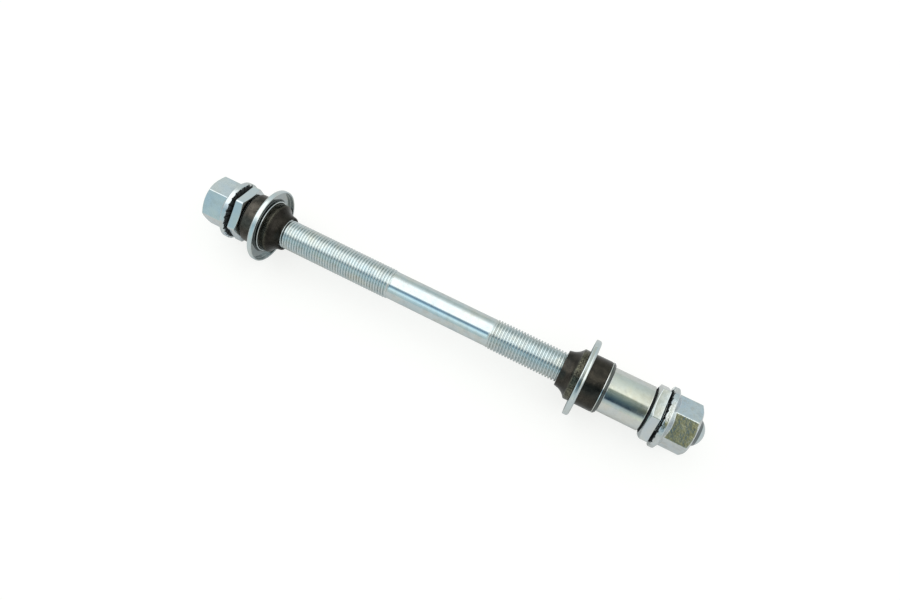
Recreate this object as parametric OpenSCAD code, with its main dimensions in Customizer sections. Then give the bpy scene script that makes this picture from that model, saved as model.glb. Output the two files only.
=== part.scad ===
// Rear hub axle for loose-ball bearings: a threaded axle that carries two bearing cones with
// dust caps, a washer and a spacer on one side, two lock nuts and two serrated flange nuts.
// Sizes in millimetres. The axle lies along X with its middle at the origin, and the end
// with the spacer is +X.

/* [Axle] */
// Length of the axle over its domed tips
axle_len = 180; // [176:1:200]
// Outside diameter of the threaded ends
thread_d = 10; // [9.5:0.1:10.4]
// Length of each threaded end, with its tip
thread_len = 71.5; // [66:0.5:78]
// Diameter of the plain middle
plain_d = 9.4; // [8.6:0.1:9.4]
// Height of each domed tip
tip_h = 2.2; // [1.4:0.1:3]
// Diameter at the foot of the dome
tip_d = 8.6; // [7.6:0.1:9.2]
// Length of the bevel between the thread and the dome
tip_bevel = 0.6; // [0.3:0.1:1.2]
// Length of the slope where the thread runs out into the plain middle
runout = 0.6; // [0.3:0.1:1.5]

/* [Stack] */
// Distance between the outer faces of the two lock nuts
seat_span = 151; // [142:1:154]
// Space left between the left lock nut and its axle nut
left_nut_gap = 1.2; // [0.2:0.1:2]
// Space left between the right lock nut and its axle nut
right_nut_gap = 0.8; // [0.2:0.1:2]
// Radial clearance between the thread and the pieces that screw along it
thread_clear = 0.05; // [0.02:0.01:0.1]
// Radial clearance between the thread and the washer and spacer
slip_clear = 0.2; // [0.1:0.05:0.4]
// Width of the bevels at the mouths of the bores
mouth_bevel = 0.5; // [0.2:0.1:0.6]

/* [Axle nuts] */
// Width across the flats of the axle nuts
nut_af = 15; // [14:0.5:16]
// Height of an axle nut, flange included
nut_h = 10.5; // [9.5:0.1:11.5]
// Diameter of the flat ring at the outer end of an axle nut
nut_face_d = 14.2; // [12.4:0.1:14.8]
// Angle of the bevel at an axle nut's outer end, from the end face
nut_bevel = 30; // [15:1:35]
// Diameter of the flange
flange_d = 20; // [18.5:0.5:23]
// Thickness of the flange at its rim
flange_rim = 1.6; // [1.2:0.1:2]
// Height of the cone that joins the flange to the hexagon
flange_cone = 1.5; // [1:0.1:2]
// Rounding of the flange's rim, in which the tooth spaces run out
rim_round = 0.5; // [0.3:0.05:0.6]
// Number of teeth on the flange's gripping face
teeth = 27; // [18:1:32]
// Depth of the teeth at the rim
tooth_depth = 0.3; // [0.2:0.05:0.4]
// Depth of the teeth at their inner end
tooth_root = 0.2; // [0.15:0.05:0.3]
// Diameter where the teeth end
tooth_in_d = 12.8; // [12:0.1:14]
// Width of the steep side of a tooth space at the rim
tooth_steep = 0.25; // [0.2:0.05:0.4]
// Width of the gentle side of a tooth space at the rim
tooth_slope = 0.9; // [0.6:0.05:1.2]
// Turn of the left axle nut about the axle
left_nut_turn = 6; // [-30:1:30]
// Turn of the right axle nut about the axle
right_nut_turn = -1; // [-30:1:30]

/* [Lock nuts] */
// Width across the flats of the lock nuts
lock_af = 17; // [16:0.5:19]
// Thickness of a lock nut, boss included
lock_h = 4; // [3.4:0.1:5]
// Diameter of the round boss toward the cone
lock_boss_d = 13; // [12.6:0.1:14]
// Height of the boss
lock_boss_h = 0.6; // [0.4:0.1:1]
// Diameter of the flat ring around the boss
lock_face_d = 15; // [14:0.1:16]
// Angle of the bevel around that ring, from the face
lock_bevel = 20; // [15:1:35]
// Turn of the left lock nut about the axle
left_lock_turn = 4; // [-30:1:30]
// Turn of the right lock nut about the axle
right_lock_turn = 26; // [-30:1:30]

/* [Bearing cones] */
// Diameter of a cone's round body
cone_d = 17; // [16:0.1:18]
// Length of a cone
cone_len = 13.6; // [12.5:0.1:16]
// Diameter of the small end
cone_small_d = 12; // [11.6:0.1:12.4]
// Diameter where the ball race begins
race_foot_d = 12.5; // [12.4:0.1:13.2]
// Length of the collar between the small end and the ball race
collar_len = 1.4; // [0.8:0.1:2]
// Length of the ball race along the axle
race_len = 2.7; // [2.4:0.1:3.2]
// Radius of the hollow of the ball race
race_r = 5; // [3.8:0.1:8]
// Width of the bevels on a cone's outer edges
cone_edge = 0.3; // [0.1:0.05:0.5]

/* [Dust caps] */
// Outside diameter of a dust cap
cap_d = 25.5; // [24:0.1:28]
// Width of a dust cap's rim along the axle
cap_w = 1.9; // [1.6:0.1:2.6]
// Thickness of the sheet
cap_t = 0.6; // [0.5:0.05:0.8]
// Distance from a cone's outer end to the back of its dust cap
cap_set = 5.7; // [5:0.1:6.5]
// How far the inner lip stays below the edge of the rim
cap_lip_drop = 0.2; // [0:0.05:0.4]
// Outside radius of the bend at the rim
cap_bend = 0.8; // [0.65:0.05:1]
// Clearance between a dust cap and the cone it is set on
cap_clear = 0.02; // [0.01:0.01:0.05]

/* [Washer and spacer] */
// Diameter of the washer against the right cone
washer_d = 17; // [16:0.1:18]
// Thickness of the washer
washer_t = 1.2; // [0.9:0.1:2]
// Height of the washer's straight edge, below its bevel
washer_edge = 0.6; // [0.3:0.1:0.8]
// Diameter of the washer's face toward the spacer
washer_face_d = 15.8; // [15:0.1:16.4]
// Outside diameter of the spacer
spacer_d = 14.8; // [14:0.1:15]
// Length of the spacer
spacer_len = 13.5; // [8:0.5:18]
// Width of the bevels on the spacer's outer edges
spacer_edge = 0.3; // [0.1:0.05:0.5]

/* [Hidden] */
$fn = 128;
// Steps in each drawn arc
arc_steps = 8;
// How far a cutting shape reaches past the surface that it opens
over = 1;

half_len = axle_len / 2;
plain_half = half_len - thread_len;
thread_r = thread_d / 2;
tip_r = tip_d / 2;
bore_r = thread_r + thread_clear;
slip_r = thread_r + slip_clear;
flange_r = flange_d / 2;
tooth_in_r = tooth_in_d / 2;
cone_r = cone_d / 2;
cap_r = cap_d / 2;

// Places along the axle, counted outward from its middle
seat_x = seat_span / 2;
lock_x = seat_x - lock_h;
left_nut_x = seat_x + left_nut_gap;
right_nut_x = seat_x + right_nut_gap;
left_cone_x = lock_x - cone_len;
spacer_x = lock_x - spacer_len;
washer_x = spacer_x - washer_t;
right_cone_x = washer_x - cone_len;

// Points on an arc of radius r about c, from angle a to angle b
function arc(c, r, a, b) = [for (i = [0:arc_steps]) let (t = a + (b - a) * i / arc_steps)
    [c[0] + r * cos(t), c[1] + r * sin(t)]];

// Centre of the arc of radius r through p and q that lies to the right of the way from p to q
function arc_centre(p, q, r) = let (d = q - p, h = norm(d) / 2, k = sqrt(r * r - h * h) / (2 * h))
    (p + q) / 2 + k * [d[1], -d[0]];

// Direction from c to p
function bearing(c, p) = atan2(p[1] - c[1], p[0] - c[0]);

// Sets a piece that is drawn along Z, outward end up, on the axle. side is 1 for the right
// and -1 for the left, x its distance from the middle and turn its turn about the axle.
module on_axle(side, x, turn = 0) {
    translate([side * x, 0, 0])
        rotate([turn, 0, 0])
            rotate([0, side * 90, 0])
                children();
}

// Upright hexagonal bar, with a corner toward X
module hexagon(af, h) {
    cylinder(r = af / 2 / cos(30), h = h, $fn = 6);
}

// Hole of radius r through a piece of height h, bevelled at both mouths
module bevelled_bore(r, h) {
    rotate_extrude()
        polygon([[0, -over], [r + mouth_bevel + over, -over], [r, mouth_bevel],
            [r, h - mouth_bevel], [r + mouth_bevel + over, h + over], [0, h + over]]);
}

// Axle: two threaded ends with domed tips and a plain middle
module axle() {
    dome_r = (tip_r * tip_r + tip_h * tip_h) / (2 * tip_h);
    dome_x = half_len - dome_r;
    dome_foot = asin(tip_r / dome_r);
    end_line = concat([[0, half_len]],
        [for (i = [1:arc_steps]) let (t = dome_foot * i / arc_steps)
            [dome_r * sin(t), dome_x + dome_r * cos(t)]],
        [[thread_r, half_len - tip_h - tip_bevel], [thread_r, plain_half],
            [plain_d / 2, plain_half - runout]]);
    other_line = [for (i = [len(end_line) - 1:-1:0]) [end_line[i][0], -end_line[i][1]]];
    color([0.80, 0.84, 0.88])
        rotate([0, 90, 0])
            rotate_extrude()
                polygon(concat(end_line, other_line));
}

// Space between two teeth, cut along X and deepest at the rim
module tooth_space() {
    run = flange_r - tooth_in_r;
    rise = atan((tooth_depth - tooth_root) / run);
    scale_up = (tooth_depth + over) / tooth_depth;
    translate([tooth_in_r, 0, tooth_root])
        rotate([0, -rise, 0])
            rotate([90, 0, 90])
                translate([0, 0, -over])
                    linear_extrude(height = run + 2 * over)
                        polygon([[0, 0], [-tooth_steep * scale_up, -tooth_depth * scale_up],
                            [tooth_slope * scale_up, -tooth_depth * scale_up]]);
}

// Axle nut: a hexagon on a coned flange whose gripping face, at z = 0, has radial teeth
module flange_nut() {
    hex_r = nut_af / 2;
    wide = flange_r + over;
    cone_top = flange_rim + flange_cone;
    cone_tilt = atan(flange_cone / (flange_r - hex_r));
    difference() {
        union() {
            intersection() {
                hexagon(nut_af, nut_h);
                rotate_extrude()
                    polygon([[0, 0], [wide, 0],
                        [wide, nut_h - (wide - nut_face_d / 2) * tan(nut_bevel)],
                        [nut_face_d / 2, nut_h], [0, nut_h]]);
            }
            rotate_extrude()
                polygon(concat([[0, 0], [flange_r - rim_round, 0]],
                    arc([flange_r - rim_round, rim_round], rim_round, -90, 0),
                    arc([flange_r - rim_round, flange_rim - rim_round], rim_round, 0, 90 - cone_tilt),
                    [[hex_r, cone_top], [0, cone_top]]));
        }
        bevelled_bore(bore_r, nut_h);
        translate([0, 0, -over])
            cylinder(r = tooth_in_r, h = tooth_root + over);
        for (i = [0:teeth - 1])
            rotate([0, 0, i * 360 / teeth])
                tooth_space();
    }
}

// Lock nut: a thin hexagon with a bevel and a round boss on the side toward the cone, at z = 0
module lock_nut() {
    boss_r = lock_boss_d / 2;
    face_r = lock_face_d / 2;
    wide = lock_af / 2 / cos(30) + over;
    difference() {
        intersection() {
            hexagon(lock_af, lock_h);
            rotate_extrude()
                polygon([[0, 0], [boss_r, 0], [boss_r, lock_boss_h], [face_r, lock_boss_h],
                    [wide, lock_boss_h + (wide - face_r) * tan(lock_bevel)],
                    [wide, lock_h + over], [0, lock_h + over]]);
        }
        bevelled_bore(bore_r, lock_h);
    }
}

// Bearing cone, small end at z = 0: a collar, the hollow ball race and a round body
module bearing_cone() {
    foot = [race_foot_d / 2, collar_len];
    head = [cone_r - cone_edge / 2, collar_len + race_len];
    hollow = arc_centre(foot, head, race_r);
    color([0.20, 0.17, 0.15])
        difference() {
            rotate_extrude()
                polygon(concat([[0, 0], [cone_small_d / 2 - cone_edge, 0],
                        [cone_small_d / 2, cone_edge]],
                    arc(hollow, race_r, bearing(hollow, foot), bearing(hollow, head)),
                    [[cone_r, head[1] + cone_edge / 2], [cone_r, cone_len - cone_edge],
                        [cone_r - cone_edge, cone_len], [0, cone_len]]));
            bevelled_bore(bore_r, cone_len);
        }
}

// Dust cap, in the cone's own frame: a pressed ring with a bent rim and an inner lip,
// both turned toward the small end
module dust_cap() {
    back = cone_len - cap_set;
    front = back - cap_w;
    in_r = cone_r + cap_clear;
    fold = cap_t / 2;
    bend_in = cap_bend - cap_t;
    color([0.86, 0.89, 0.90])
        rotate_extrude()
            polygon(concat(
                [[in_r, front + cap_lip_drop], [in_r, back]],
                arc([cap_r - cap_bend, back - cap_bend], cap_bend, 90, 0),
                arc([cap_r - fold, front + fold], fold, 0, -180),
                arc([cap_r - cap_bend, back - cap_bend], bend_in, 0, 90),
                [[in_r + cap_t, back - cap_t], [in_r + cap_t, front + cap_lip_drop]]));
}

module left_axle_nut() {
    color([0.74, 0.79, 0.83])
        on_axle(-1, left_nut_x, left_nut_turn)
            flange_nut();
}

module right_axle_nut() {
    color([0.74, 0.79, 0.83])
        on_axle(1, right_nut_x, right_nut_turn)
            flange_nut();
}

module left_lock_nut() {
    color([0.78, 0.81, 0.82])
        on_axle(-1, lock_x, left_lock_turn)
            lock_nut();
}

module right_lock_nut() {
    color([0.78, 0.81, 0.82])
        on_axle(1, lock_x, right_lock_turn)
            lock_nut();
}

module left_cone() {
    on_axle(-1, left_cone_x)
        bearing_cone();
}

module right_cone() {
    on_axle(1, right_cone_x)
        bearing_cone();
}

module left_dust_cap() {
    on_axle(-1, left_cone_x)
        dust_cap();
}

module right_dust_cap() {
    on_axle(1, right_cone_x)
        dust_cap();
}

// Washer with one bevelled side, turned toward the spacer
module right_washer() {
    color([0.84, 0.87, 0.88])
        on_axle(1, washer_x)
            rotate_extrude()
                polygon([[slip_r, 0], [washer_d / 2, 0], [washer_d / 2, washer_edge],
                    [washer_face_d / 2, washer_t], [slip_r, washer_t]]);
}

// Spacer tube between the washer and the right lock nut
module right_spacer() {
    color([0.82, 0.84, 0.84])
        on_axle(1, spacer_x)
            rotate_extrude()
                polygon([[slip_r, 0], [spacer_d / 2 - spacer_edge, 0], [spacer_d / 2, spacer_edge],
                    [spacer_d / 2, spacer_len - spacer_edge],
                    [spacer_d / 2 - spacer_edge, spacer_len], [slip_r, spacer_len]]);
}

axle();
left_axle_nut();
left_lock_nut();
left_cone();
left_dust_cap();
right_cone();
right_dust_cap();
right_washer();
right_spacer();
right_lock_nut();
right_axle_nut();
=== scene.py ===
"""Looks of the rear hub axle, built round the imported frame. Sizes are in millimetres; the mesh
helpers turn them into metres."""
import math

import bmesh
import bpy
from mathutils import Matrix, Vector


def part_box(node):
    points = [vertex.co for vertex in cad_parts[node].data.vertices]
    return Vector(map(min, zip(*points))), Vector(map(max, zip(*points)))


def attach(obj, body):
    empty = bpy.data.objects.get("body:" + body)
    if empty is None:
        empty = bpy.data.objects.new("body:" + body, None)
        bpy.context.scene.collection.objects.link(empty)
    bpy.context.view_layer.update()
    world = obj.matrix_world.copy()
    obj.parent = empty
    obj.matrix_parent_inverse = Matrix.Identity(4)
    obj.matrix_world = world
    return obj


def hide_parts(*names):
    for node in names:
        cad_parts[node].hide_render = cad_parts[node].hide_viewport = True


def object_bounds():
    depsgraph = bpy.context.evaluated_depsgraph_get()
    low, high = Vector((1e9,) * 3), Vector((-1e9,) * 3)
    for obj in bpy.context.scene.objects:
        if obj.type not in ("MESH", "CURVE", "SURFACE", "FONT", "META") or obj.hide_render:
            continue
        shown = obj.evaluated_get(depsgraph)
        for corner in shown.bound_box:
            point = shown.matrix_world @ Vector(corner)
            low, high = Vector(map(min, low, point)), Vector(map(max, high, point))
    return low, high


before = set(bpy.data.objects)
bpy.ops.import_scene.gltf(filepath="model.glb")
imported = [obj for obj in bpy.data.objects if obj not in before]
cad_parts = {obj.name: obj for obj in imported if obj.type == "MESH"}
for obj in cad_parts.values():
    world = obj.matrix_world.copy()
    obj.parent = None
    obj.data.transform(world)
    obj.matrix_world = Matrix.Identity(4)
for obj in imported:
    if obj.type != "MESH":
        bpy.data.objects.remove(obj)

CAD_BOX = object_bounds()

MM = 0.001
TAU = 2 * math.pi
SIDE = {"left": -1, "right": 1}

# Meshes: edges that bend more than this many degrees stay crisp
SHARP = 32
ROD_SHARP = 50
# A rounded corner takes at most this share of either stretch beside it
ROUND_SHARE = 0.45
# Each straight stretch longer than this gets a point this close to either end
HOLD_LEAST = 0.6
HOLD = 0.08
# Angles closer together than this many degrees become one
ANGLE_LEAST = 0.12
# Points round a hexagon reach past a corner's rounding by this factor, and the next ones on the
# flat follow this many degrees on
CORNER_REACH = 1.1
FLAT_START = 1
# A hexagon's side spans this many degrees
HEX_SIDE = 60
HEX_HALF = 30

# Axle
THREAD_R = 5.0
ROOT_R = 4.4
PLAIN_R = 4.7
PITCH = 1.0
# Where the rolled thread comes to its end in the plain middle, and how long it takes to fade
THREAD_START = {"left": 17.2, "right": 18.2}
THREAD_FADE = 1.3
PLAIN_HOLD = 0.3
TIP_R = 4.3
TIP_H = 2.2
TIP_BEVEL = 0.6
# One pitch of the thread: place along it, and share of the thread's depth
THREAD_PROFILE = [(-0.21, 0.88), (-0.12, 1.0), (0.12, 1.0), (0.21, 0.88), (0.42, 0.0), (0.58, 0.0)]
# A crest's place on either side, at this turn about the axle
CREST_X = {"left": -56.25, "right": 23.47}
CREST_TURN = math.radians(110)
# Turns of thread beyond either end, which are squeezed onto that end
SPARE_TURNS = 2
ROD_POINTS = 72
DOME_RINGS = 10

# Bores and their mouths
BORE_R = 5.05
SLIP_R = 5.2
SLIP_ROUND = 0.05
MOUTH = 0.5
MOUTH_ROUND = 0.08

# Axle nuts
NUT_APOTHEM = 7.5
NUT_FACE_R = 7.1
NUT_FACE_ROUND = 0.12
NUT_BEVEL = math.radians(30)
NUT_BEVEL_ROUND = 0.18
NUT_CORNER = 0.45
NUT_TURN = {"left": 6.0, "right": -1.0}
FLANGE_RIM = 1.6
FLANGE_TOP = 3.1
FLANGE_FOOT_ROUND = 0.3
RIM_ROUND = 0.3
RIM_HOLD = 0.1
RIM_BACK_ROUND = 0.3
TEETH = 27
TOOTH_SPACING = 360 / TEETH
TOOTH_DEPTH = 0.3
TOOTH_ROOT = 0.2
TOOTH_IN_R = 6.4
TOOTH_IN_WALL = 0.02
TOOTH_STEEP = 0.25
TOOTH_SLOPE = 0.9
# The gripping face gets points at these degrees from the deepest line of each tooth space, at
# these radii inside its rim, and at these degrees round the rim
TOOTH_ANGLES = [-1.8, -1.45, -0.75, 0, 1.3, 2.6, 3.9, 5.2, 8.4]
GRIP_RADII = [TOOTH_IN_R, 7.2, 8.1, 9.0]
RIM_ANGLES = range(0, 91, 15)

# Lock nuts
LOCK_APOTHEM = 8.5
LOCK_BOSS_R = 6.5
LOCK_BOSS_H = 0.6
LOCK_BOSS_ROUND = 0.12
LOCK_BOSS_FOOT_ROUND = 0.1
LOCK_FACE_R = 7.5
LOCK_FACE_ROUND = 0.12
LOCK_BEVEL = math.radians(20)
LOCK_BEVEL_ROUND = 0.22
LOCK_BACK_ROUND = 0.16
LOCK_CORNER = {"left": 0.9, "right": 0.35}
LOCK_TURN = {"left": 4.0, "right": 26.0}
LOCK_STEP = 3.0

# Bearing cones
SMALL_R = 6.0
SMALL_BEVEL_R = 0.1
SMALL_BEVEL_H = 0.35
SMALL_ROUNDS = (0.12, 0.1)
CONE_MOUTH_ROUND = 0.06
FOOT_R = 6.25
COLLAR_LEN = 1.4
RACE_LEN = 2.7
RACE_R = 5.0
RACE_STEPS = 14
CONE_EDGE = 0.3
SHOULDER_BEVEL_H = 0.18
SHOULDER_ROUNDS = (0.07, 0.1)
CONE_BACK_BEVEL = 0.25
CONE_BACK_ROUNDS = (0.14, 0.12)
CONE_POINTS = 200

# Dust caps
CAP_T = 0.6
CAP_BEND = 0.8
CAP_LIP_DROP = 0.2
CAP_CLEAR = 0.02
# What is left flat between the two roundings of a folded edge, on either side of its middle
CAP_FOLD_FLAT = 0.01
CAP_BACK_ROUND = 0.1
CAP_FOOT_ROUND = 0.3
CAP_POINTS = 220
CAP_ROUND_STEPS = 6

# Washer and spacer
WASHER_EDGE = 0.6
WASHER_EDGE_ROUND = 0.08
WASHER_BEVEL_ROUND = 0.15
WASHER_FACE_R = 7.9
WASHER_FACE_ROUND = 0.12
SPACER_EDGE = 0.12
SPACER_EDGE_ROUND = 0.2
SPACER_END_ROUND = 0.1


def span(node):
    """A node's inner and outer ends, as distances from the axle's middle in millimetres."""
    low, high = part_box(node)
    return sorted((abs(low.x) / MM, abs(high.x) / MM))


def radius(node):
    """Half a round node's height, in millimetres."""
    low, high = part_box(node)
    return (high.z - low.z) / 2 / MM


def round_path(path, steps=3):
    """Closed path of (r, z, rounding) as points: a rounded corner becomes steps + 1 points."""
    out = []
    for i, (r, z, rho) in enumerate(path):
        if not rho:
            out.append((r, z))
            continue
        here = Vector((r, z))
        before = Vector(path[i - 1][:2]) - here
        after = Vector(path[(i + 1) % len(path)][:2]) - here
        u, v = before / before.length, after / after.length
        half = u.angle(v) / 2
        cut = min(rho / math.tan(half), ROUND_SHARE * before.length, ROUND_SHARE * after.length)
        centre = here + (u + v).normalized() * (cut * math.tan(half) / math.sin(half))
        a, b = here + u * cut - centre, here + v * cut - centre
        turn = a.angle_signed(b)
        for k in range(steps + 1):
            s = -turn * k / steps
            out.append((centre.x + a.x * math.cos(s) - a.y * math.sin(s),
                centre.y + a.x * math.sin(s) + a.y * math.cos(s)))
    return out


def finish_mesh(name, bm, sharp=SHARP):
    """The bmesh as a smooth-shaded object with its normals outward."""
    bmesh.ops.remove_doubles(bm, verts=bm.verts, dist=1e-7)
    loose = [v for v in bm.verts if not v.link_faces]
    bmesh.ops.delete(bm, geom=loose, context="VERTS")
    bmesh.ops.recalc_face_normals(bm, faces=bm.faces)
    mesh = bpy.data.meshes.new(name)
    bm.to_mesh(mesh)
    bm.free()
    for p in mesh.polygons:
        p.use_smooth = True
    mesh.set_sharp_from_angle(angle=math.radians(sharp))
    obj = bpy.data.objects.new(name, mesh)
    bpy.context.scene.collection.objects.link(obj)
    return obj


def braced(columns):
    """Columns with a point close to either end of each long straight stretch, which keeps its
    shading flat."""
    first = columns[0]
    n = len(first)
    long_ones = {k for k in range(n) if math.dist(first[k], first[(k + 1) % n]) > HOLD_LEAST}
    out = []
    for points in columns:
        column = []
        for k in range(n):
            here, there = points[k], points[(k + 1) % n]
            column.append(here)
            if k in long_ones:
                part = HOLD / math.dist(here, there)
                for share in (part, 1 - part):
                    column.append(tuple(a + (b - a) * share for a, b in zip(here, there)))
        out.append(column)
    return out


def skin(name, columns, angles, place):
    """A closed ring of columns: each column is a list of (r, z) points at its angle."""
    bm = bmesh.new()
    rings = []
    for points, a in zip(braced(columns), angles):
        c, s = math.cos(a), math.sin(a)
        rings.append([bm.verts.new(place @ Vector((r * c * MM, r * s * MM, z * MM))) for r, z in points])
    n, m = len(rings), len(rings[0])
    for i in range(n):
        one, two = rings[i], rings[(i + 1) % n]
        for j in range(m):
            k = (j + 1) % m
            bm.faces.new((one[j], two[j], two[k], one[k]))
    return finish_mesh(name, bm)


def on_axle(side, x, turn=0.0):
    """Sets a piece that is drawn along z, outward end up, on the axle."""
    return (Matrix.Translation((side * x * MM, 0, 0)) @ Matrix.Rotation(math.radians(turn), 4, "X")
        @ Matrix.Rotation(side * math.pi / 2, 4, "Y"))


def lathe(name, path, side, x, points=180, round_steps=3):
    """A path turned round the axle, with its inner end at x."""
    angles = [TAU * i / points for i in range(points)]
    return skin(name, [round_path(path, round_steps)] * points, angles, on_axle(side, x))


def flat_half(apothem, rho):
    """Degrees from the middle of a hexagon's flat to the rounding of its corner."""
    return math.degrees(math.atan((apothem - rho) * math.tan(math.radians(HEX_HALF)) / apothem))


def hexagon_angles(apothem, rho, corner_steps=6, flat_steps=3):
    """Angles round a hexagon with a corner at 0: close together at its rounded corners, where
    they reach a little past the rounding."""
    corner = CORNER_REACH * (HEX_HALF - flat_half(apothem, rho))
    flat = corner + FLAT_START
    out = []
    for k in range(6):
        near = [corner * (2 * i / corner_steps - 1) for i in range(corner_steps + 1)]
        far = [flat + (HEX_SIDE - 2 * flat) * i / flat_steps for i in range(flat_steps + 1)]
        out += [k * HEX_SIDE + a for a in near + far]
    return out


def hexagon_r(angle, apothem, rho):
    """Radius of a hexagon with rounded corners, a corner at 0."""
    from_corner = abs((angle + HEX_HALF) % HEX_SIDE - HEX_HALF)
    from_flat = HEX_HALF - from_corner
    if from_flat <= flat_half(apothem, rho):
        return apothem / math.cos(math.radians(from_flat))
    centre = (apothem - rho) / math.cos(math.radians(HEX_HALF))
    a = math.radians(from_corner)
    return centre * math.cos(a) + math.sqrt(rho * rho - (centre * math.sin(a)) ** 2)


def merged(angles):
    """Sorted angles in degrees without near doubles."""
    out = []
    for a in sorted(x % 360 for x in angles):
        if not out or a - out[-1] > ANGLE_LEAST:
            out.append(a)
    if out[0] + 360 - out[-1] <= ANGLE_LEAST:
        out.pop()
    return out


def bore(length, rounding=MOUTH_ROUND):
    """Path down a threaded piece's bore, from its outer mouth to its inner one."""
    return [(BORE_R + MOUTH, length, rounding), (BORE_R, length - MOUTH, 0), (BORE_R, MOUTH, 0)]


def grip_z(a, r, rim_r):
    """Height of the gripping face: the rounded rim, or the tooth space where it is deeper."""
    past = max(0.0, r - (rim_r - RIM_ROUND))
    rim = RIM_ROUND - math.sqrt(max(0.0, RIM_ROUND ** 2 - past ** 2))
    off = (a + TOOTH_SPACING / 4) % TOOTH_SPACING - TOOTH_SPACING / 4
    y = r * math.radians(off)
    deepest = TOOTH_ROOT + (TOOTH_DEPTH - TOOTH_ROOT) * (r - TOOTH_IN_R) / (rim_r - TOOTH_IN_R)
    side_slope = TOOTH_DEPTH / (TOOTH_STEEP if y < 0 else TOOTH_SLOPE)
    return max(rim, deepest - side_slope * abs(y))


def flange_nut(name, side, node, turn):
    """Axle nut: a hexagon on a coned flange, with radial teeth on its gripping face."""
    inner, outer = span(node)
    height = outer - inner
    rim_r = radius(node)
    slope = (FLANGE_TOP - FLANGE_RIM) / (rim_r - NUT_APOTHEM)
    angles = merged(hexagon_angles(NUT_APOTHEM, NUT_CORNER)
        + [k * TOOTH_SPACING + t for k in range(TEETH) for t in TOOTH_ANGLES])
    rim_radii = [rim_r - RIM_ROUND + RIM_ROUND * math.sin(math.radians(a)) for a in RIM_ANGLES]
    columns = []
    for a in angles:
        wall = hexagon_r(a, NUT_APOTHEM, NUT_CORNER)
        path = [(BORE_R + MOUTH - TOOTH_ROOT, TOOTH_ROOT, 0), (TOOTH_IN_R - TOOTH_IN_WALL, TOOTH_ROOT, 0)]
        path += [(r, grip_z(a, r, rim_r), 0) for r in GRIP_RADII + rim_radii]
        path += [(rim_r, RIM_ROUND + RIM_HOLD, 0), (rim_r, FLANGE_RIM - RIM_BACK_ROUND, 0),
            (rim_r, FLANGE_RIM, RIM_BACK_ROUND)]
        path += [(wall, FLANGE_TOP - (wall - NUT_APOTHEM) * slope, FLANGE_FOOT_ROUND),
            (wall, height - (wall - NUT_FACE_R) * math.tan(NUT_BEVEL), NUT_BEVEL_ROUND),
            (NUT_FACE_R, height, NUT_FACE_ROUND)]
        columns.append(round_path(path + bore(height)))
    return skin(name, columns, [math.radians(a) for a in angles], on_axle(side, inner, turn))


def lock_nut(name, side, node, turn, corner):
    """Thin hexagon nut with a bevel and a round boss on the side toward the cone."""
    inner, outer = span(node)
    thick = outer - inner
    even_steps = [LOCK_STEP * i for i in range(int(360 / LOCK_STEP))]
    angles = merged(hexagon_angles(LOCK_APOTHEM, corner) + even_steps)
    columns = []
    for a in angles:
        wall = hexagon_r(a, LOCK_APOTHEM, corner)
        bevel_z = LOCK_BOSS_H + (wall - LOCK_FACE_R) * math.tan(LOCK_BEVEL)
        path = [(BORE_R + MOUTH, 0, MOUTH_ROUND), (LOCK_BOSS_R, 0, LOCK_BOSS_ROUND),
            (LOCK_BOSS_R, LOCK_BOSS_H, LOCK_BOSS_FOOT_ROUND), (LOCK_FACE_R, LOCK_BOSS_H, LOCK_FACE_ROUND),
            (wall, bevel_z, LOCK_BEVEL_ROUND), (wall, thick, LOCK_BACK_ROUND)]
        columns.append(round_path(path + bore(thick)))
    return skin(name, columns, [math.radians(a) for a in angles], on_axle(side, inner, turn))


def race_path(foot, head):
    """The hollow race as an arc from its foot to just short of its head."""
    chord = head - foot
    half = chord.length / 2
    sink = math.sqrt(RACE_R ** 2 - half ** 2) / (2 * half)
    centre = (foot + head) / 2 + Vector((chord.y, -chord.x)) * sink
    first = math.atan2(foot.y - centre.y, foot.x - centre.x)
    last = math.atan2(head.y - centre.y, head.x - centre.x)
    angles = [first + (last - first) * i / RACE_STEPS for i in range(RACE_STEPS)]
    return [(centre.x + RACE_R * math.cos(a), centre.y + RACE_R * math.sin(a), 0) for a in angles]


def bearing_cone(name, side, node):
    """Collar, hollow ball race with a crisp shoulder, and a round body."""
    inner, outer = span(node)
    length, body_r = outer - inner, radius(node)
    foot = Vector((FOOT_R, COLLAR_LEN))
    head = Vector((body_r - CONE_EDGE / 2, COLLAR_LEN + RACE_LEN))
    path = [(BORE_R + MOUTH, 0, CONE_MOUTH_ROUND), (SMALL_R - SMALL_BEVEL_R, 0, SMALL_ROUNDS[0]),
        (SMALL_R, SMALL_BEVEL_H, SMALL_ROUNDS[1])]
    path += race_path(foot, head)
    path += [(head.x, head.y, SHOULDER_ROUNDS[0]), (body_r, head.y + SHOULDER_BEVEL_H, SHOULDER_ROUNDS[1]),
        (body_r, length - CONE_BACK_BEVEL, CONE_BACK_ROUNDS[0]),
        (body_r - CONE_BACK_BEVEL, length, CONE_BACK_ROUNDS[1])]
    return lathe(name, path + bore(length, CONE_MOUTH_ROUND), side, inner, CONE_POINTS)


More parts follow.
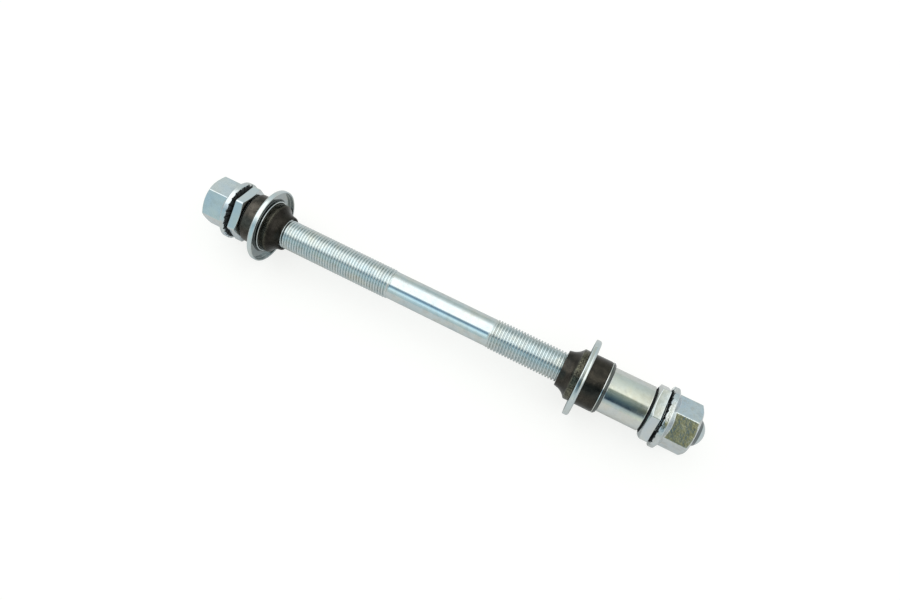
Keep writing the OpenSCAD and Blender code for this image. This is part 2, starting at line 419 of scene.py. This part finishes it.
def dust_cap(name, side, node, cone):
    """Pressed ring: a rolled rim, a web at the back and a lip on the cone."""
    inner, outer = span(node)
    back, rim_r = outer - inner, radius(node)
    in_r = radius(cone) + CAP_CLEAR
    lip_r = in_r + CAP_T
    fold = CAP_T / 2 - CAP_FOLD_FLAT
    path = [(in_r, CAP_LIP_DROP, fold), (in_r, back, CAP_BACK_ROUND), (rim_r, back, CAP_BEND),
        (rim_r, 0, fold), (rim_r - CAP_T, 0, fold), (rim_r - CAP_T, back - CAP_T, CAP_BEND - CAP_T),
        (lip_r, back - CAP_T, CAP_FOOT_ROUND), (lip_r, CAP_LIP_DROP, fold)]
    return lathe(name, path, side, inner, CAP_POINTS, CAP_ROUND_STEPS)


def washer(name, side, node):
    """Ring with one bevelled side, turned toward the spacer."""
    inner, outer = span(node)
    thick, edge_r = outer - inner, radius(node)
    path = [(SLIP_R, 0, SLIP_ROUND), (edge_r, 0, WASHER_EDGE_ROUND),
        (edge_r, WASHER_EDGE, WASHER_BEVEL_ROUND), (WASHER_FACE_R, thick, WASHER_FACE_ROUND),
        (SLIP_R, thick, SLIP_ROUND)]
    return lathe(name, path, side, inner)


def spacer(name, side, node):
    """Plain tube with bevelled edges."""
    inner, outer = span(node)
    length, edge_r = outer - inner, radius(node)
    end_r = edge_r - SPACER_EDGE
    path = [(SLIP_R, 0, SLIP_ROUND), (end_r, 0, SPACER_END_ROUND), (edge_r, SPACER_EDGE, SPACER_EDGE_ROUND),
        (edge_r, length - SPACER_EDGE, SPACER_EDGE_ROUND), (end_r, length, SPACER_END_ROUND),
        (SLIP_R, length, SLIP_ROUND)]
    return lathe(name, path, side, inner)


def rod_point(bm, x, r, k):
    """Vertex at one of the places round the rod."""
    a = TAU * k / ROD_POINTS
    return bm.verts.new((x * MM, r * MM * math.cos(a), r * MM * math.sin(a)))


def rod_ring(bm, x, r):
    return [rod_point(bm, x, r, k) for k in range(ROD_POINTS)]


def bridge(bm, rings):
    """Faces from each ring to the next."""
    for one, two in zip(rings, rings[1:]):
        for k in range(ROD_POINTS):
            m = (k + 1) % ROD_POINTS
            bm.faces.new((one[k], one[m], two[m], two[k]))


def thread_r(x, level, x_tip):
    """Radius of the thread, which fades toward the plain middle and is bevelled at the tip."""
    from_start = abs(x) - THREAD_START["left" if x < 0 else "right"]
    share = max(0.0, min(1.0, from_start / THREAD_FADE))
    deep = ROOT_R + (THREAD_R - ROOT_R) * level
    bevel = THREAD_R - max(0.0, abs(x) - (x_tip - TIP_BEVEL)) * (THREAD_R - TIP_R) / TIP_BEVEL
    return min(PLAIN_R + (deep - PLAIN_R) * share, bevel)


def thread_column(a, ends, crest, x_tip):
    """Points (x, r) along the thread at one angle. Its two ends come with their radii."""
    x0, x1 = sorted(ends)
    first = math.floor((x0 - crest) / PITCH) - SPARE_TURNS
    last = math.ceil((x1 - crest) / PITCH) + SPARE_TURNS
    column = []
    for i in range(first, last):
        for at, level in THREAD_PROFILE:
            x = crest + (i + at + (a - CREST_TURN) / TAU) * PITCH
            x = min(max(x, x0), x1)
            column.append((x, ends[x] if x in ends else thread_r(x, level, x_tip)))
    return column


def thread(bm, ends, crest, x_tip):
    """Skin of a thread. Round the rod it climbs by one pitch, so where the last column meets
    the first one, the first is taken from a pitch further on. Flat quads at the ends are left out."""
    grid = []
    for k in range(ROD_POINTS):
        column = thread_column(TAU * k / ROD_POINTS, ends, crest, x_tip)
        grid.append([rod_point(bm, x, r, k) for x, r in column])
    grid.append(grid[0][len(THREAD_PROFILE):])
    for near, far in zip(grid, grid[1:]):
        for j in range(len(far) - 1):
            quad = (near[j], far[j], far[j + 1], near[j + 1])
            places = {(round(v.co.x, 9), round(v.co.yz.length, 9)) for v in quad}
            if len(places) > 1:
                bm.faces.new(quad)


def dome(bm, side, half):
    """The rod's domed tip on one side."""
    dome_r = (TIP_R ** 2 + TIP_H ** 2) / (2 * TIP_H)
    foot = math.asin(TIP_R / dome_r)
    rings = []
    for i in range(DOME_RINGS):
        t = foot * (1 - i / DOME_RINGS)
        rings.append(rod_ring(bm, side * (half - dome_r + dome_r * math.cos(t)), dome_r * math.sin(t)))
    bridge(bm, rings)
    last = rings[-1]
    tip = bm.verts.new((side * half * MM, 0, 0))
    for k in range(ROD_POINTS):
        bm.faces.new((last[k], last[(k + 1) % ROD_POINTS], tip))


def axle(name):
    """Rod with rolled right-hand threads at both ends, a plain middle and domed tips."""
    half = span("axle")[1]
    x_tip = half - TIP_H
    left, right = -THREAD_START["left"], THREAD_START["right"]
    bm = bmesh.new()
    thread(bm, {-x_tip: TIP_R, left: PLAIN_R}, CREST_X["left"], x_tip)
    thread(bm, {right: PLAIN_R, x_tip: TIP_R}, CREST_X["right"], x_tip)
    bridge(bm, [rod_ring(bm, x, PLAIN_R) for x in (left, left + PLAIN_HOLD, right - PLAIN_HOLD, right)])
    for side in SIDE.values():
        dome(bm, side, half)
    return finish_mesh(name, bm, ROD_SHARP)


def shader(name):
    """A new material with its node tree and its Principled shader."""
    mat = bpy.data.materials.new(name)
    mat.use_nodes = True
    tree = mat.node_tree
    return mat, tree, tree.nodes["Principled BSDF"]


def add_node(tree, kind, **values):
    """A new node. Each value goes to the input of that name, or to the node's own setting."""
    made = tree.nodes.new(kind)
    for key, value in values.items():
        if key in made.inputs:
            made.inputs[key].default_value = value
        else:
            setattr(made, key, value)
    return made


def mapped(tree, scale):
    """Object coordinates in millimetres, stretched by scale."""
    coord = add_node(tree, "ShaderNodeTexCoord")
    mapping = add_node(tree, "ShaderNodeMapping", Scale=[s / MM for s in scale])
    tree.links.new(coord.outputs["Object"], mapping.inputs["Vector"])
    return mapping.outputs["Vector"]


def even(value):
    """The same value for all three axes or channels."""
    return (value, value, value)


def noise(tree, scale, detail=3.0, rough=0.55, distortion=0.0):
    """Noise between 0 and 1. The scale, one number for each axis, is in patches a millimetre."""
    made = add_node(tree, "ShaderNodeTexNoise", Scale=1.0, Detail=detail, Roughness=rough,
        Distortion=distortion)
    tree.links.new(mapped(tree, scale), made.inputs["Vector"])
    return made.outputs["Fac"]


def ramp(tree, source, stops):
    """Colours (r, g, b) at their places between 0 and 1."""
    made = add_node(tree, "ShaderNodeValToRGB")
    elements = made.color_ramp.elements
    while len(elements) < len(stops):
        elements.new(0.5)
    for element, (at, colour) in zip(elements, stops):
        element.position = at
        element.color = (*colour, 1.0)
    tree.links.new(source, made.inputs["Fac"])
    return made.outputs["Color"]


def mix(tree, fac, one, two, blend="MIX"):
    """One colour to the other by fac. Each of the three is a number, a colour or a socket."""
    made = add_node(tree, "ShaderNodeMix", data_type="RGBA", blend_type=blend)
    for socket, value in ((made.inputs["Factor"], fac), (made.inputs[6], one), (made.inputs[7], two)):
        if isinstance(value, (int, float)):
            socket.default_value = value
        elif isinstance(value, tuple):
            socket.default_value = (*value, 1.0)
        else:
            tree.links.new(value, socket)
    return made.outputs[2]


def spread(tree, source, low, high, from_low, from_high):
    """From low to high while the source goes from from_low to from_high, and level beyond."""
    made = add_node(tree, "ShaderNodeMapRange")
    made.inputs["From Min"].default_value = from_low
    made.inputs["From Max"].default_value = from_high
    made.inputs["To Min"].default_value = low
    made.inputs["To Max"].default_value = high
    tree.links.new(source, made.inputs["Value"])
    return made.outputs["Result"]


def bump(tree, heights, bsdf):
    """Adds bumps one on another: (height socket, strength, depth in mm)."""
    normal = None
    for height, strength, depth in heights:
        made = add_node(tree, "ShaderNodeBump", Strength=strength, Distance=depth * MM)
        tree.links.new(height, made.inputs["Height"])
        if normal is not None:
            tree.links.new(normal, made.inputs["Normal"])
        normal = made.outputs["Normal"]
    tree.links.new(normal, bsdf.inputs["Normal"])


def distance(tree, scale):
    """Length of the object coordinates in millimetres, after each axis is scaled."""
    made = add_node(tree, "ShaderNodeVectorMath", operation="LENGTH")
    tree.links.new(mapped(tree, scale), made.inputs[0])
    return made.outputs["Value"]


def product(tree, one, two):
    made = add_node(tree, "ShaderNodeMath", operation="MULTIPLY")
    tree.links.new(one, made.inputs[0])
    tree.links.new(two, made.inputs[1])
    return made.outputs[0]


def within(tree, source, low, high, edge, amount=1.0):
    """The amount where the source lies between low and high, and 0 beyond, fading over edge."""
    rise = spread(tree, source, 0.0, amount, low - edge, low)
    fall = spread(tree, source, 1.0, 0.0, high, high + edge)
    return product(tree, rise, fall)


# Scales for distance: from the axle's centre line, and from its middle along that line
FROM_AXIS = (0, 1, 1)
FROM_MIDDLE = (1, 0, 0)

# Scales for tool lines: round the axle, along it, and short ones on a nut
ACROSS = (10.0, 0.25, 0.25)
ALONG = (0.08, 5.0, 5.0)
NUT_GRAIN = (1.2, 3.0, 3.0)

# Tints of zinc between which each surface drifts
BLUE_ZINC = ((0.64, 0.74, 0.77), (0.71, 0.78, 0.79), (0.74, 0.77, 0.73))
NUT_ZINC = ((0.66, 0.74, 0.80), (0.72, 0.77, 0.78), (0.76, 0.78, 0.74))
PALE_ZINC = ((0.74, 0.78, 0.78), (0.78, 0.80, 0.76), (0.80, 0.79, 0.71))
STAIN_TINT = (0.46, 0.42, 0.36)
# Tint of painted shade, with some dirt, in recesses and gaps
SHADE_AND_DIRT_TINT = (0.04, 0.05, 0.05)
# Black of grease and painted shade round the lock nut bosses and in the gaps at the axle nuts
GREASE_AND_SHADE_TINT = (0.012, 0.014, 0.014)
# Roughness of the matt darkened patches: grease and painted shade
MATT_PATCH_ROUGH = (0.8, 0.8, 0.8)
MARK_TINT = (0.16, 0.135, 0.10)
# Lighter tint of worn marks and painted highlights on a cone's shoulder
WORN_AND_SHEEN_TINT = (0.26, 0.26, 0.19)

# Darkened patches, most of them painted shade: rows of (scale, low, high, edge, amount) that hold together
# Painted shade in the thread roots along both threaded ends, darkest at the root
GROOVE_SHADE = [(FROM_AXIS, 0.0, ROOT_R + 0.02, 0.24, 0.12), (FROM_MIDDLE, 18.5, 87.2, 0.5, 1.0)]
# Painted shade on the thread's end where it stands out past the nut
THREAD_END_SHADE = [(FROM_AXIS, 3.9, THREAD_R, 0.15, 1.0), (FROM_MIDDLE, 86.4, 88.2, 0.15, 0.75)]
# Painted shade in the dust cap's channel, darkest in the band beside its lip
CAP_CHANNEL_SHADE = [(FROM_AXIS, 9.6, 12.1, 0.4, 0.35)]
CAP_LIP_SHADE = [(FROM_AXIS, 9.1, 9.6, 0.03, 0.85)]
# Darker across most of the washer's width along the axle
WASHER_DARK_BAND = [(FROM_MIDDLE, 57.1, 58.2, 0.12, 0.88)]
# Radius that the painted shade of the gap on a lock nut's outer face and on an axle nut's gripping face
# reaches, and how much further it goes in the tooth spaces
LOCK_SHADE_R = 8.2
GRIP_SHADE_R = {"left": 9.2, "right": 8.75}
SPACE_SHADE_MORE = 0.25
# How stained an axle nut is, and how uneven its faces are
NUT_SPOTS = {"left": 0.2, "right": 0.35}
NUT_WAVE = {"left": 0.5, "right": 1.0}

OXIDE = {"left": dict(base=(0.050, 0.046, 0.040), brown=(0.124, 0.112, 0.094), rough=0.27, race_shade_share=0.38),
    "right": dict(base=(0.040, 0.038, 0.034), brown=(0.076, 0.068, 0.056), rough=0.20, race_shade_share=1.0)}
# The strip of worn marks and painted highlights along a race's shoulder: where it starts before the shoulder
# and ends past it
WORN_SHEEN_BEFORE = 0.1
WORN_SHEEN_PAST = 1.7


def shaded(colour, share):
    """A colour made darker or brighter by a share."""
    return tuple(share * c for c in colour)


def lay_dark_patches(tree, colour, patches, tint):
    """Lays darkened patches over a colour: painted shade, and some dirt. Gives the colour, and the share of
    bare metal.
    """
    bare = None
    for patch in patches:
        mask = None
        for scale, low, high, edge, amount in patch:
            part = within(tree, distance(tree, scale), low, high, edge, amount)
            mask = part if mask is None else product(tree, mask, part)
        colour = mix(tree, mask, colour, tint)
        rest = spread(tree, mask, 1.0, 0.0, 0.0, 1.0)
        bare = rest if bare is None else product(tree, bare, rest)
    return colour, bare


def zinc(name, tints, rough, lines, grain=1.0, relief=1.0, spots=0.0, wave=0.0, dark_patches=(),
        patch_tint=SHADE_AND_DIRT_TINT, matt_patches=False):
    """Bright zinc plate: a slow drift of tint, fine grain, tool lines, and darkened patches in its recesses
    and gaps, most of them painted shade, some with grease. A wave makes flat faces uneven, and the matt flag
    makes the darkened patches matt."""
    mat, tree, bsdf = shader(name)
    bsdf.inputs["Metallic"].default_value = 1.0
    drift = noise(tree, even(0.16), 4.0, 0.6, 0.6)
    colour = ramp(tree, drift, [(0.32, tints[0]), (0.5, tints[1]), (0.68, tints[2])])
    speck = noise(tree, even(2.2), 4.0, 0.65)
    colour = mix(tree, spread(tree, speck, 0.0, 0.22 * grain, 0.45, 0.75), colour, shaded(tints[1], 0.8))
    tool = noise(tree, lines, 3.0, 0.6)
    colour = mix(tree, spread(tree, tool, 0.0, 0.14, 0.5, 0.8), colour, shaded(tints[0], 0.72))
    if spots:
        stain = noise(tree, even(0.42), 5.0, 0.62)
        colour = mix(tree, spread(tree, stain, 0.0, spots, 0.48, 0.68), colour, STAIN_TINT)
    # Painted shade, with some dirt, darkens the colour in the given patches
    colour, bare = lay_dark_patches(tree, colour, dark_patches, patch_tint)
    tree.links.new(colour, bsdf.inputs["Base Color"])
    wear = noise(tree, even(0.6), 4.0, 0.6)
    roughness = spread(tree, wear, rough * 0.8, rough * 1.35, 0.3, 0.7)
    # The darkened patches are made matt and less metallic
    if matt_patches:
        tree.links.new(bare, bsdf.inputs["Metallic"])
        roughness = mix(tree, bare, MATT_PATCH_ROUGH, roughness)
    tree.links.new(roughness, bsdf.inputs["Roughness"])
    ripple = noise(tree, even(0.7), 2.0, 0.5)
    heights = [(ripple, 0.2 * relief, 0.03), (speck, 0.1 * relief, 0.01), (tool, 0.1 * relief, 0.006)]
    if wave:
        heights.append((noise(tree, even(0.5), 3.0, 0.6), wave, 0.12))
    bump(tree, heights, bsdf)
    return mat


def dark_oxide(where, base, brown, rough, race_shade_share):
    """Dark oxide on a turned and hardened cone, with a film of oil and a few rubbed marks, most of them
    along the race's shoulder, where they are lighter as worn marks and painted highlights. The race keeps a
    share of the colour, as painted shade in its hollow."""
    shoulder = span(where + "_cone")[0] + COLLAR_LEN + RACE_LEN
    mat, tree, bsdf = shader(where + "_oxide")
    from_middle = distance(tree, FROM_MIDDLE)
    bsdf.inputs["Metallic"].default_value = 1.0
    cloud = noise(tree, even(0.35), 5.0, 0.62, 0.4)
    colour = ramp(tree, cloud, [(0.38, base), (0.66, brown)])
    turned = noise(tree, (9.0, 0.35, 0.35), 3.0, 0.6)
    colour = mix(tree, spread(tree, turned, 0.0, 0.3, 0.45, 0.75), colour, shaded(brown, 1.5))
    marks = noise(tree, even(1.9), 6.0, 0.75, 1.2)
    colour = mix(tree, spread(tree, marks, 0.0, 0.7, 0.58, 0.72), colour, MARK_TINT)
    grit = noise(tree, even(4.5), 4.0, 0.7)
    colour = mix(tree, spread(tree, grit, 0.0, 0.8, 0.5, 0.7), colour, shaded(base, 0.25))
    # Painted shade: the hollow race is darkened to a share of its colour
    shaded_race = within(tree, from_middle, 0, shoulder, 0.3)
    colour = mix(tree, shaded_race, colour, mix(tree, 1.0, colour, even(race_shade_share), "MULTIPLY"))
    # Worn marks and painted highlights: lighter patches along the race's shoulder
    worn_sheen = within(tree, from_middle, shoulder - WORN_SHEEN_BEFORE, shoulder + WORN_SHEEN_PAST, 0.2, race_shade_share * 0.8)
    rubbed_sheen = spread(tree, marks, 0.0, 1.0, 0.45, 0.58)
    colour = mix(tree, product(tree, worn_sheen, rubbed_sheen), colour, WORN_AND_SHEEN_TINT)
    tree.links.new(colour, bsdf.inputs["Base Color"])
    tree.links.new(spread(tree, cloud, rough * 0.8, rough * 1.3, 0.3, 0.7), bsdf.inputs["Roughness"])
    bump(tree, [(marks, 0.2, 0.03), (turned, 0.12, 0.01), (grit, 0.2, 0.01)], bsdf)
    return mat


def lock_zinc(where):
    """Zinc of a lock nut, black around its boss with grease and painted shade, and on its outer face with
    painted shade of the gap before the axle nut.
    """
    inner, outer = span(where + "_lock_nut")
    # Grease and painted shade round the boss
    boss = [(FROM_MIDDLE, inner - 1, inner + LOCK_BOSS_H + 0.02, 0.05, 0.99)]
    # Painted shade on the outer face, in the gap before the axle nut
    outside = [(FROM_MIDDLE, outer - 0.03, outer + 2, 0.02, 0.9), (FROM_AXIS, 0.0, LOCK_SHADE_R, 0.2, 1.0)]
    return zinc(where + "_lock_zinc", NUT_ZINC, 0.06, NUT_GRAIN, grain=1.1, relief=0.5,
        dark_patches=[boss, outside], patch_tint=GREASE_AND_SHADE_TINT, matt_patches=True)


def nut_zinc(where):
    """Zinc of an axle nut, with painted shade of the gap on its gripping face and between its teeth."""
    inner = span(where + "_axle_nut")[0]
    reach = GRIP_SHADE_R[where]
    # Painted shade of the gap on the gripping face, reaching further into the tooth spaces
    face = [(FROM_MIDDLE, inner - 1, inner + 0.4, 0.08, 0.95), (FROM_AXIS, 0.0, reach, 0.08, 1.0)]
    spaces = [(FROM_MIDDLE, inner + 0.1, inner + 0.4, 0.05, 0.9),
        (FROM_AXIS, 0.0, reach + SPACE_SHADE_MORE, 0.08, 1.0)]
    return zinc(where + "_nut_zinc", NUT_ZINC, 0.14, NUT_GRAIN, grain=1.2, relief=0.9,
        spots=NUT_SPOTS[where], wave=NUT_WAVE[where], dark_patches=[face, spaces], patch_tint=GREASE_AND_SHADE_TINT,
        matt_patches=True)


# Pieces

rod_zinc = zinc("rod_zinc", BLUE_ZINC, 0.11, ALONG, relief=0.5, spots=0.25, dark_patches=[GROOVE_SHADE, THREAD_END_SHADE])
cap_zinc = zinc("cap_zinc", BLUE_ZINC, 0.115, ACROSS, grain=0.8, relief=0.5, dark_patches=[CAP_CHANNEL_SHADE, CAP_LIP_SHADE])
spacer_zinc = zinc("spacer_zinc", PALE_ZINC, 0.095, ACROSS, grain=0.9, relief=0.6, spots=0.2)
washer_zinc = zinc("washer_zinc", PALE_ZINC, 0.12, ACROSS, grain=0.8, relief=0.4, dark_patches=[WASHER_DARK_BAND])
oxide = {where: dark_oxide(where, **OXIDE[where]) for where in SIDE}


def dress(obj, cad_node, body, material):
    """Gives a piece its material, lets it stand for its node and fixes it to its body."""
    obj.data.materials.append(material)
    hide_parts(cad_node)
    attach(obj, body)


dress(axle("axle_rod"), "axle", "axle", rod_zinc)
for where, side in SIDE.items():
    nut, lock, cone, cap = (where + "_" + n for n in ("axle_nut", "lock_nut", "cone", "dust_cap"))
    dress(flange_nut("zinc_" + nut, side, nut, NUT_TURN[where]), nut, nut, nut_zinc(where))
    dress(lock_nut("zinc_" + lock, side, lock, LOCK_TURN[where], LOCK_CORNER[where]), lock, lock,
        lock_zinc(where))
    dress(bearing_cone("oxide_" + cone, side, cone), cone, cone, oxide[where])
    dress(dust_cap("zinc_" + cap, side, cap, cone), cap, cone, cap_zinc)
dress(washer("zinc_right_washer", 1, "right_washer"), "right_washer", "axle", washer_zinc)
dress(spacer("zinc_right_spacer", 1, "right_spacer"), "right_spacer", "axle", spacer_zinc)

# Stage

FLOOR_Z = CAD_BOX[0].z
FLOOR_HALF = 3.0
# The paper's own grey, and how much it glows, by the kind of ray that meets it
PAPER_CAMERA = 0.26
PAPER_OTHER = 0.50
GLOW_CAMERA = 0.77
GLOW_GLOSSY = 0.17
GLOW_TINT = (1.0, 1.0, 0.98, 1.0)


def by_ray(tree, output, value, other):
    """One value for the kind of ray that the output names, and another for the rest."""
    made = add_node(tree, "ShaderNodeMapRange")
    path = add_node(tree, "ShaderNodeLightPath")
    made.inputs["To Min"].default_value = other
    made.inputs["To Max"].default_value = value
    tree.links.new(path.outputs[output], made.inputs["Value"])
    return made.outputs["Result"]


def paper():
    """Pale paper: lit for the camera by its own glow, so that the shadow stays faint. From
    below it can't be seen."""
    mat, tree, bsdf = shader("paper")
    tree.nodes.remove(bsdf)
    out = tree.nodes["Material Output"]
    matt = add_node(tree, "ShaderNodeBsdfDiffuse")
    grey = add_node(tree, "ShaderNodeCombineColor")
    for channel in ("Red", "Green", "Blue"):
        tree.links.new(by_ray(tree, "Is Camera Ray", PAPER_CAMERA, PAPER_OTHER), grey.inputs[channel])
    tree.links.new(grey.outputs[0], matt.inputs["Color"])
    glow = add_node(tree, "ShaderNodeEmission", Color=GLOW_TINT)
    strength = add_node(tree, "ShaderNodeMath", operation="ADD")
    tree.links.new(by_ray(tree, "Is Camera Ray", GLOW_CAMERA, 0.0), strength.inputs[0])
    tree.links.new(by_ray(tree, "Is Glossy Ray", GLOW_GLOSSY, 0.0), strength.inputs[1])
    tree.links.new(strength.outputs[0], glow.inputs["Strength"])
    both = add_node(tree, "ShaderNodeAddShader")
    tree.links.new(matt.outputs[0], both.inputs[0])
    tree.links.new(glow.outputs[0], both.inputs[1])
    clear = add_node(tree, "ShaderNodeBsdfTransparent")
    face = add_node(tree, "ShaderNodeNewGeometry")
    choose = add_node(tree, "ShaderNodeMixShader")
    tree.links.new(face.outputs["Backfacing"], choose.inputs[0])
    tree.links.new(both.outputs[0], choose.inputs[1])
    tree.links.new(clear.outputs[0], choose.inputs[2])
    tree.links.new(choose.outputs[0], out.inputs["Surface"])
    return mat


def stage_floor():
    """A square of paper that the axle lies on."""
    h, z = FLOOR_HALF, FLOOR_Z
    mesh = bpy.data.meshes.new("floor")
    mesh.from_pydata([(-h, -h, z), (h, -h, z), (h, h, z), (-h, h, z)], [], [(0, 1, 2, 3)])
    obj = bpy.data.objects.new("floor", mesh)
    bpy.context.scene.collection.objects.link(obj)
    obj.data.materials.append(paper())


# Brightness and tint of the room by angle from straight up, toward the camera's side, in
# degrees. Each list is for one range of leans along the axle, named after what shows it in the
# photograph's view. The sides are for those that lean far to the left or to the right.
ROOM_LEFT = [(-90, (0.58, 0.64, 0.64)), (-69, (0.65, 0.72, 0.72)), (-52, (0.80, 0.86, 0.86)),
    (-38, (1.34, 1.38, 1.38)), (10, (1.46, 1.50, 1.50)), (19, (0.98, 1.04, 1.06)), (29, (0.64, 0.74, 0.77)),
    (42, (0.42, 0.55, 0.60)), (56, (0.50, 0.65, 0.69)), (75, (0.56, 0.69, 0.70)), (92, (0.60, 0.68, 0.66))]
ROOM_MIDDLE = [(-90, (0.58, 0.64, 0.62)), (-76, (0.52, 0.58, 0.57)), (-62, (0.60, 0.66, 0.66)),
    (-52, (0.82, 0.86, 0.86)), (-43, (1.20, 1.23, 1.23)), (-32, (1.42, 1.44, 1.44)),
    (20, (1.42, 1.44, 1.44)), (25, (0.80, 0.90, 0.95)), (29, (0.24, 0.36, 0.46)), (41, (0.20, 0.32, 0.43)),
    (47, (0.60, 0.85, 0.98)), (58, (0.86, 1.08, 1.16)), (66, (0.62, 0.78, 0.84)), (80, (0.50, 0.62, 0.65)),
    (92, (0.58, 0.64, 0.63))]
ROOM_CAP = [(-90, (0.60, 0.59, 0.53)), (-64, (0.57, 0.56, 0.50)), (-40, (0.52, 0.53, 0.48)),
    (-20, (0.44, 0.46, 0.42)), (-6, (0.28, 0.31, 0.28)), (6, (0.10, 0.12, 0.11)), (16, (0.05, 0.06, 0.06)),
    (32, (0.03, 0.05, 0.06)), (48, (0.04, 0.06, 0.07)), (58, (0.16, 0.19, 0.20)), (68, (0.46, 0.50, 0.49)),
    (82, (0.74, 0.75, 0.69)), (92, (0.78, 0.78, 0.71))]
ROOM_RIGHT = [(-90, (0.56, 0.62, 0.60)), (-64, (0.58, 0.66, 0.64)), (-40, (0.72, 0.80, 0.75)),
    (-16, (0.96, 1.00, 0.90)), (-2, (1.14, 1.17, 1.04)), (4, (1.14, 1.16, 1.02)), (10, (0.28, 0.34, 0.28)),
    (28, (0.17, 0.24, 0.24)), (42, (0.07, 0.125, 0.16)), (55, (0.008, 0.03, 0.06)),
    (61, (0.012, 0.04, 0.08)), (68, (0.36, 0.47, 0.54)), (80, (0.52, 0.60, 0.63)), (92, (0.60, 0.64, 0.60))]
ROOM_LOCK = [(-90, (0.55, 0.62, 0.62)), (-60, (0.56, 0.60, 0.58)), (-30, (0.58, 0.60, 0.51)),
    (5, (0.68, 0.70, 0.62)), (14, (0.10, 0.12, 0.10)), (60, (0.08, 0.10, 0.10)), (76, (0.70, 0.76, 0.66)),
    (92, (0.84, 0.88, 0.76))]
ROOM_END = [(-90, (0.54, 0.64, 0.68)), (-62, (0.62, 0.70, 0.70)), (-50, (1.10, 1.14, 1.10)),
    (-30, (1.30, 1.32, 1.28)), (20, (1.30, 1.32, 1.28)), (28, (0.64, 0.64, 0.46)), (34, (0.40, 0.39, 0.19)),
    (40, (0.18, 0.175, 0.073)), (46, (0.31, 0.32, 0.20)), (54, (0.44, 0.54, 0.54)), (63, (0.52, 0.66, 0.70)),
    (80, (0.50, 0.56, 0.56)), (92, (0.56, 0.60, 0.57))]
ROOM_SIDES = [(-90, (0.58, 0.60, 0.60)), (-50, (0.80, 0.82, 0.82)), (-30, (1.32, 1.34, 1.32)),
    (20, (1.32, 1.34, 1.32)), (45, (0.62, 0.64, 0.65)), (92, (0.60, 0.62, 0.61))]
# From left to right, the next list and the leans between which it takes over from the one before
ROOM_CHANGES = [(ROOM_LEFT, -0.80, -0.60), (ROOM_MIDDLE, -0.40, -0.26), (ROOM_CAP, -0.020, 0.000),
    (ROOM_RIGHT, 0.036, 0.050), (ROOM_LOCK, 0.100, 0.106), (ROOM_END, 0.127, 0.132),
    (ROOM_SIDES, 0.26, 0.45)]


def sky(tree, share, stops):
    """One room's colours by angle, where share is the angle's place between -180 and 180."""
    return ramp(tree, share, [((a + 180) / 360, c) for a, c in stops])


def room():
    """The studio: white for the camera, and by direction for everything that it lights."""
    world = bpy.data.worlds.new("room")
    bpy.context.scene.world = world
    world.use_nodes = True
    tree = world.node_tree
    back = tree.nodes["Background"]
    coord = add_node(tree, "ShaderNodeTexCoord")
    split = add_node(tree, "ShaderNodeSeparateXYZ")
    tree.links.new(coord.outputs["Generated"], split.inputs[0])
    toward = add_node(tree, "ShaderNodeMath", operation="MULTIPLY")
    toward.inputs[1].default_value = -1.0
    tree.links.new(split.outputs["Y"], toward.inputs[0])
    angle = add_node(tree, "ShaderNodeMath", operation="ARCTAN2")
    tree.links.new(toward.outputs[0], angle.inputs[0])
    tree.links.new(split.outputs["Z"], angle.inputs[1])
    share = spread(tree, angle.outputs[0], 0.0, 1.0, -math.pi, math.pi)
    colour = sky(tree, share, ROOM_SIDES)
    for stops, low, high in ROOM_CHANGES:
        part = sky(tree, share, stops)
        colour = mix(tree, spread(tree, split.outputs["X"], 0.0, 1.0, low, high), colour, part)
    path = add_node(tree, "ShaderNodeLightPath")
    colour = mix(tree, path.outputs["Is Camera Ray"], colour, even(1.0))
    tree.links.new(colour, back.inputs["Color"])
    back.inputs["Strength"].default_value = 1.0


# The photograph's viewpoint, in metres: where it is, its right-hand direction and the direction
# that points away from the view
CAMERA_AT = (0.04486, -0.07863, 0.22507)
CAMERA_RIGHT = (0.88557, 0.46450, 0.0)
CAMERA_BACK = (0.17789, -0.33915, 0.92376)
CAMERA_LENS_MM = 30.0
CAMERA_SENSOR_MM = 36.0
CAMERA_CLIP = (0.01, 20.0)


def camera():
    """Sets up the photograph's viewpoint."""
    data = bpy.data.cameras.new("camera")
    data.sensor_width = CAMERA_SENSOR_MM
    data.lens = CAMERA_LENS_MM
    data.clip_start, data.clip_end = CAMERA_CLIP
    obj = bpy.data.objects.new("camera", data)
    bpy.context.scene.collection.objects.link(obj)
    back = Vector(CAMERA_BACK).normalized()
    up = back.cross(Vector(CAMERA_RIGHT)).normalized()
    turn = Matrix((up.cross(back), up, back)).transposed().to_4x4()
    obj.matrix_world = Matrix.Translation(CAMERA_AT) @ turn
    bpy.context.scene.camera = obj


stage_floor()
room()
camera()
bpy.context.scene.view_settings.view_transform = "Standard"
